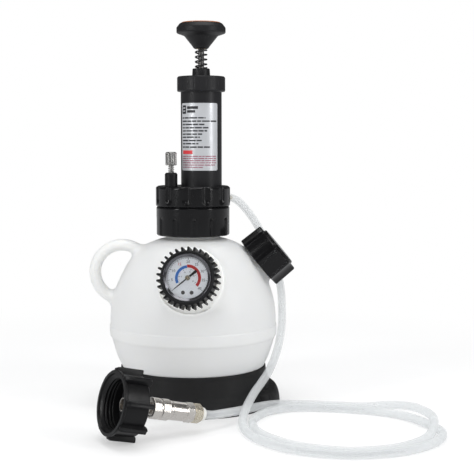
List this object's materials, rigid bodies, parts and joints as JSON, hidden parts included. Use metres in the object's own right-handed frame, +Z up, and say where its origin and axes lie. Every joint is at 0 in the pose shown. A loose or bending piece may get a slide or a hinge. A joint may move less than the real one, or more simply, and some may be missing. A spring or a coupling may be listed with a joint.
{
  "type": "hand pump with fluid tank",
  "caption": "Hand pump on a round blown tank with pressure gauge, filler cap, relief valve, coiled hose, quick coupler and finned reservoir adapter.",
  "frame": {"origin": "centre of the foot, on the floor plane, on the tank axis", "axes": "+Z up along the tank axis, the gauge faces -Y, +X to the filler cap side, the carrying loop is at -X"},
  "size_m": [0.3328, 0.2974, 0.3775],
  "materials": {
    "gloss_black": "gloss",
    "satin_black": "satin",
    "foot_rubber": "satin",
    "tank_plastic": "satin translucent",
    "seal_rubber": "matte",
    "boot_rubber": "matte",
    "steel": "brushed",
    "black_steel": "satin",
    "nickel": "satin nickel",
    "bright_ring": "polished",
    "nickel_brass": "polished",
    "white_plastic": "satin",
    "brass": "machined",
    "fibre": "matte",
    "label_film": "satin silver film",
    "dial_white": "gloss",
    "pointer_black": "matte",
    "lens": "clear",
    "insert_orange": "gloss",
    "hose_plastic": "translucent"
  },
  "bodies": {
    "tank_and_pump": {"tank_nut": "gloss_black", "pump_head": "gloss_black", "barrel": "gloss_black", "pump_cap": "gloss_black", "relief_body": "gloss_black", "base": "foot_rubber", "tank": "tank_plastic", "neck_seal": "seal_rubber", "outlet_seal": "seal_rubber", "gauge_boot": "boot_rubber", "head_clip": "steel", "check_spring": "steel", "gauge_case": "steel", "dial_screws": "steel", "sleeve_spring": "steel", "lock_balls": "steel", "relief_spring": "nickel", "coupler_body": "nickel", "gauge_bezel": "bright_ring", "hose_nut": "nickel_brass", "hose_ferrule": "white_plastic", "check_cage": "white_plastic", "dip_tube": "white_plastic", "rod_bush": "brass", "outlet_barb": "brass", "gauge_movement": "brass", "bourdon_tube": "brass", "gauge_stem": "brass", "gauge_insert": "brass", "gauge_seal": "fibre", "barrel_label": "label_film", "gauge_dial": "dial_white", "gauge_lens": "lens", "hose": "hose_plastic"},
    "plunger": {"knob": "gloss_black", "knob_insert": "insert_orange", "knob_bush": "brass", "pump_rod": "black_steel", "bumper_spring": "black_steel", "piston": "white_plastic", "piston_cup": "seal_rubber", "piston_washer": "steel", "piston_nut": "steel"},
    "relief_plunger": {"relief_stem": "nickel", "relief_knob": "nickel"},
    "filler_gasket_body": {"filler_gasket": "seal_rubber"},
    "filler_cap_body": {"filler_cap": "gloss_black"},
    "pointer": {"gauge_pointer": "pointer_black", "pointer_hub": "brass"},
    "sleeve": {"coupler_sleeve": "nickel"},
    "plug": {"adapter_plug": "nickel", "plug_oring": "seal_rubber"},
    "adapter": {"adapter_cap": "satin_black", "adapter_gasket": "seal_rubber"},
    "check_disc_body": {"check_disc": "seal_rubber"}
  },
  "joints": [
    {"name": "plunger_stroke", "type": "slide", "parent": "tank_and_pump", "child": "plunger", "axis": [0, 0, 1], "range_m": [0, 0.08]},
    {"name": "relief_press", "type": "slide", "parent": "tank_and_pump", "child": "relief_plunger", "axis": [0, 0, -1], "range_m": [0, 0.002], "deforming": ["relief_spring"]},
    {"name": "gauge_pointer_turn", "type": "hinge", "parent": "tank_and_pump", "child": "pointer", "pos_m": [-0.0014, -0.092, 0.1354], "axis": [0.1018, 0.969, -0.225], "range_deg": [0, 260]},
    {"name": "filler_cap_lift", "type": "slide", "parent": "tank_and_pump", "child": "filler_gasket_body", "axis": [0.7694, 0, 0.6388], "range_m": [0, 0.008]},
    {"name": "filler_cap_turn", "type": "hinge", "parent": "filler_gasket_body", "child": "filler_cap_body", "pos_m": [0.07309, 0, 0.14568], "axis": [0.7694, 0, 0.6388], "range_deg": [0, 720]},
    {"name": "sleeve_pull", "type": "slide", "parent": "tank_and_pump", "child": "sleeve", "axis": [0.8502, 0.4752, -0.2267], "range_m": [0, 0.003], "deforming": ["sleeve_spring"]},
    {"name": "adapter_release", "type": "slide", "parent": "tank_and_pump", "child": "plug", "axis": [-0.8502, -0.4752, 0.2267], "range_m": [0, 0.028], "deforming": ["lock_balls"]},
    {"name": "adapter_turn", "type": "hinge", "parent": "plug", "child": "adapter", "pos_m": [-0.04463, -0.15424, 0.03098], "axis": [-0.8502, -0.4752, 0.2267], "continuous": true},
    {"name": "check_valve", "type": "slide", "parent": "tank_and_pump", "child": "check_disc_body", "axis": [0, 0, -1], "range_m": [0, 0.0015], "deforming": ["check_spring"]}
  ],
  "couplings": [
    {"joint": "filler_cap_lift", "follows": "filler_cap_turn", "m_per_rad": 0.0006366}
  ]
}
